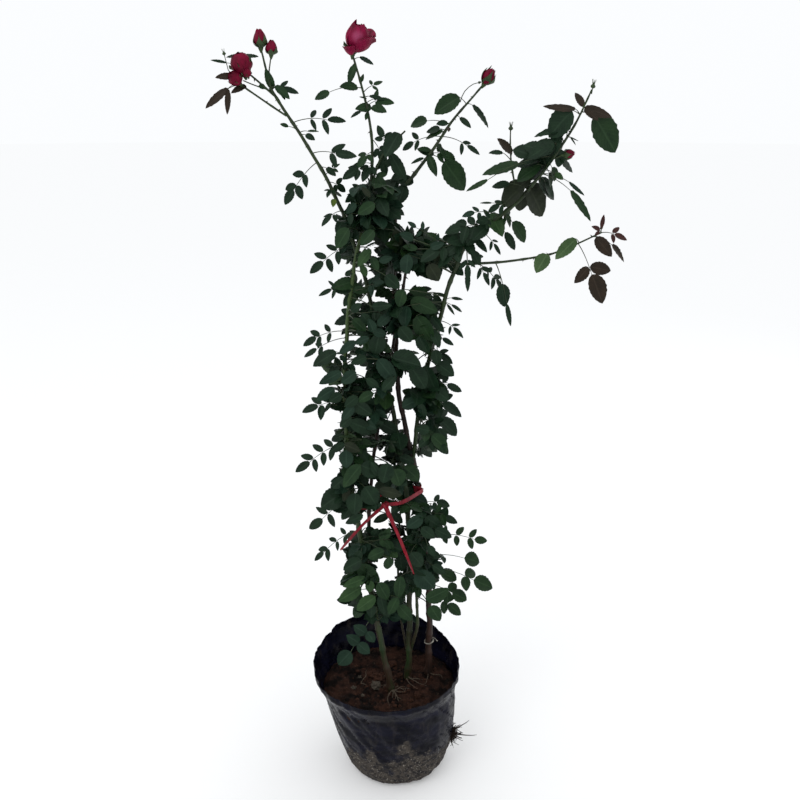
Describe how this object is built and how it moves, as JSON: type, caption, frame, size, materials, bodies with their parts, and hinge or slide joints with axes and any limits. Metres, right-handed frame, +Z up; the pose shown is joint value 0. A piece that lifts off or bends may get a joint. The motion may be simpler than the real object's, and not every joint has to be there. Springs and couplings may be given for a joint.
{
  "type": "rose bush",
  "caption": "Tall climbing rose with thorny canes tied in a column of leaves, forking boughs with dark red blooms and buds, standing in a black soil-filled nursery bag.",
  "frame": {"origin": "middle of the bag's flat underside, which stands on level ground", "axes": "+Z up along the canes, +X to the right as seen from the front, +Y to the back"},
  "size_m": [0.7207, 0.389, 1.4993],
  "materials": {
    "bag_film": "satin",
    "soil": "matte",
    "green_bark": "satin",
    "brown_bark": "matte",
    "foliage": "satin",
    "bronze_foliage": "satin",
    "petals": "satin",
    "tie_tape": "gloss"
  },
  "bodies": {
    "root": {"bag": "bag_film", "soil": "soil", "cane_left": "green_bark", "stem_top": "green_bark", "shoot_centre": "green_bark", "cane_old": "brown_bark", "cane_middle": "green_bark", "bough_left": "green_bark", "stalk_bud_left": "green_bark", "stalk_bloom_left": "green_bark", "stalk_side_left": "green_bark", "shoot_middle_right": "green_bark", "shoot_middle_left": "green_bark", "cane_brown": "brown_bark", "bough_bud": "green_bark", "cane_side": "green_bark", "bough_right": "green_bark", "shoot_right_inner": "green_bark", "bough_low_right": "green_bark", "tie": "tie_tape", "bloom_top": "petals", "bloom_left": "petals", "bud_left": "petals", "bud_centre": "petals", "leaves_top": "foliage", "leaves_upper_left": "foliage", "leaves_upper_right": "foliage", "leaves_shoulder_left": "foliage", "leaves_shoulder_right": "foliage", "leaves_middle_left": "foliage", "leaves_middle_right": "foliage", "leaves_waist_left": "foliage", "leaves_waist_right": "foliage", "leaves_tie_left": "foliage", "leaves_tie_right": "foliage", "leaves_low_left": "foliage", "leaves_low_right": "foliage", "leaves_foot_left": "foliage", "leaves_foot_right": "foliage", "spray_left_low": "foliage", "spray_right_low": "foliage", "spray_soil": "foliage", "leaves_left_tip": "bronze_foliage", "leaves_left_fork": "foliage", "leaves_left_high": "foliage", "leaves_left_middle": "foliage", "leaves_left_low": "foliage", "leaves_stem_high": "foliage", "leaves_centre": "foliage", "leaves_bud_top": "foliage", "leaves_bud_low": "foliage", "leaves_right_tip": "bronze_foliage", "leaves_right_high": "bronze_foliage", "leaves_right_middle": "foliage", "leaves_right_outer": "foliage", "leaves_right_low": "foliage", "leaves_low_tip": "bronze_foliage", "leaves_low_drop": "bronze_foliage", "leaves_low_middle": "foliage", "leaves_low_inner": "foliage"}
  },
  "joints": []
}
